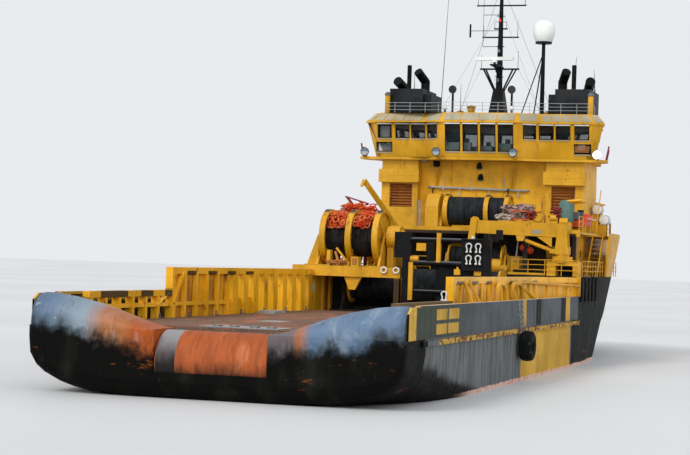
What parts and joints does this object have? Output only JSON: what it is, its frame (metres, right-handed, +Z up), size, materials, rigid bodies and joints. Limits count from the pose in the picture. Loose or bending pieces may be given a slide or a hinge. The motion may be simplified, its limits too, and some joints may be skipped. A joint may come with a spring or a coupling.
{
  "type": "anchor-handling tug, 1:2 scale model",
  "caption": "Anchor-handling tugboat with open stern and roller, cargo rails, towing winches, rope reels, deck crane, tall deckhouse and twin ducted propellers, floating light.",
  "frame": {"origin": "on the waterline and the centreline, midway along the ship", "axes": "+X to the bow, +Y to port, +Z up"},
  "size_m": [38, 9.5604, 16.8],
  "materials": {
    "hull_black": "matt, tarry, scraped",
    "forecastle_black": "matt, worn",
    "strake_grey": "matt, weathered",
    "quarter_steel": "wire-worn steel blue",
    "roller_steel": "rubbed primer orange and bare steel",
    "deck_timber": "weathered, rust-stained",
    "bare_steel": "rubbed",
    "ship_yellow": "gloss enamel, weathered",
    "wire_drum": "greased wire",
    "frame_black": "semi-matt",
    "funnel_blue": "matt, sooty",
    "window_glass": "clear, dark inside",
    "deck_gear_grey": "semi-matt",
    "white_paint": "gloss",
    "boat_orange": "satin, faded",
    "propeller_bronze": "polished by use",
    "fender_rubber": "perished rubber"
  },
  "bodies": {
    "ship": {"hull": "hull_black", "forecastle": "forecastle_black", "bulwark_port": "strake_grey", "bulwark_starboard": "strake_grey", "stern_horn_port": "quarter_steel", "stern_horn_starboard": "quarter_steel", "deck_sheathing": "deck_timber", "deck_sheathing_stern": "deck_timber", "tow_pin_plate": "bare_steel", "cargo_rail_port": "ship_yellow", "cargo_rail_starboard": "ship_yellow", "winch_frame": "ship_yellow", "tow_drum_stand": "ship_yellow", "winch_platform": "ship_yellow", "reel_stand": "ship_yellow", "deckhouse_lower": "ship_yellow", "boat_deck": "ship_yellow", "deckhouse_upper": "ship_yellow", "wheelhouse": "ship_yellow", "wheelhouse_roof": "ship_yellow", "upper_reel_stand": "ship_yellow", "crane_pedestal": "ship_yellow", "rescue_davit": "ship_yellow", "raft_rack": "ship_yellow", "stairs_port": "ship_yellow", "stairs_starboard": "ship_yellow", "bow_bulwark": "ship_yellow", "shackle_gantry": "frame_black", "main_mast": "frame_black", "radome_mast": "frame_black", "anchor_port": "frame_black", "anchor_starboard": "frame_black", "funnel_port": "funnel_blue", "funnel_starboard": "funnel_blue", "wheelhouse_glass": "window_glass", "bridge_consoles": "deck_gear_grey", "windlass": "deck_gear_grey", "radome": "white_paint", "life_raft_inner": "white_paint", "life_raft_outer": "white_paint", "rescue_boat": "boat_orange", "side_fender": "fender_rubber"},
    "stern_roller": {"stern_roller": "roller_steel"},
    "winch_drum_port": {"winch_drum_port": "wire_drum"},
    "winch_drum_starboard": {"winch_drum_starboard": "wire_drum"},
    "tow_drum": {"tow_drum": "wire_drum"},
    "store_reel": {"store_reel": "wire_drum"},
    "upper_reel": {"upper_reel": "wire_drum"},
    "radar": {"radar_scanner": "white_paint"},
    "crane_column": {"crane_column": "ship_yellow"},
    "crane_boom": {"crane_boom": "ship_yellow"},
    "crane_jib": {"crane_jib": "ship_yellow"},
    "crane_ram_barrel": {"crane_ram_barrel": "ship_yellow"},
    "crane_ram_rod": {"crane_ram_rod": "bare_steel"},
    "propeller_port": {"propeller_port": "propeller_bronze"},
    "propeller_starboard": {"propeller_starboard": "propeller_bronze"},
    "rudder_port": {"rudder_port": "hull_black"},
    "rudder_starboard": {"rudder_starboard": "hull_black"}
  },
  "joints": [
    {"name": "stern_roller_spin", "type": "hinge", "parent": "ship", "child": "stern_roller", "pos_m": [-18.25, 0, 0.78], "axis": [0, 1, 0], "continuous": true},
    {"name": "winch_drum_port_spin", "type": "hinge", "parent": "ship", "child": "winch_drum_port", "pos_m": [1.6, 0, 2.375], "axis": [0, 1, 0], "continuous": true},
    {"name": "winch_drum_starboard_spin", "type": "hinge", "parent": "ship", "child": "winch_drum_starboard", "pos_m": [1.6, 0, 2.375], "axis": [0, 1, 0], "continuous": true},
    {"name": "tow_drum_spin", "type": "hinge", "parent": "ship", "child": "tow_drum", "pos_m": [4.05, 0, 3.475], "axis": [0, 1, 0], "continuous": true},
    {"name": "store_reel_spin", "type": "hinge", "parent": "ship", "child": "store_reel", "pos_m": [1.5, 0, 4], "axis": [0, 1, 0], "continuous": true},
    {"name": "upper_reel_spin", "type": "hinge", "parent": "ship", "child": "upper_reel", "pos_m": [5.1, 0, 5.075], "axis": [0, 1, 0], "continuous": true},
    {"name": "radar_scan", "type": "hinge", "parent": "ship", "child": "radar", "pos_m": [9.1, 0, 10.75], "axis": [0, 0, 1], "continuous": true},
    {"name": "propeller_port_spin", "type": "hinge", "parent": "ship", "child": "propeller_port", "pos_m": [-14.55, 1.95, -1.65], "axis": [1, 0, 0], "continuous": true},
    {"name": "propeller_starboard_spin", "type": "hinge", "parent": "ship", "child": "propeller_starboard", "pos_m": [-14.55, -1.95, -1.65], "axis": [1, 0, 0], "continuous": true},
    {"name": "rudder_port_steer", "type": "hinge", "parent": "ship", "child": "rudder_port", "pos_m": [-15.75, 1.95, -1.5], "axis": [0, 0, 1], "range_deg": [-40, 40]},
    {"name": "rudder_starboard_steer", "type": "hinge", "parent": "ship", "child": "rudder_starboard", "pos_m": [-15.75, -1.95, -1.5], "axis": [0, 0, 1], "range_deg": [-40, 40]},
    {"name": "crane_slew", "type": "hinge", "parent": "ship", "child": "crane_column", "pos_m": [3.125, -3.85, 3.45], "axis": [0, 0, 1], "range_deg": [0, 195]},
    {"name": "crane_luff", "type": "hinge", "parent": "crane_column", "child": "crane_boom", "pos_m": [3.125, -3.85, 4.475], "axis": [1, 0, 0], "range_deg": [0, 65]},
    {"name": "crane_knuckle", "type": "hinge", "parent": "crane_boom", "child": "crane_jib", "pos_m": [3.125, -0.825, 4.575], "axis": [1, 0, 0], "range_deg": [-15, 95]},
    {"name": "crane_ram_swing", "type": "hinge", "parent": "crane_column", "child": "crane_ram_barrel", "pos_m": [3.125, -3.525, 3.75], "axis": [1, 0, 0], "range_deg": [0, 54]},
    {"name": "crane_ram_stroke", "type": "slide", "parent": "crane_ram_barrel", "child": "crane_ram_rod", "axis": [0, 0.9425, 0.3342], "range_m": [0, 0.8]}
  ],
  "couplings": [
    {"joint": "crane_ram_swing", "follows": "crane_luff", "ratio": 0.82},
    {"joint": "crane_ram_stroke", "follows": "crane_luff", "m_per_rad": 0.7}
  ]
}
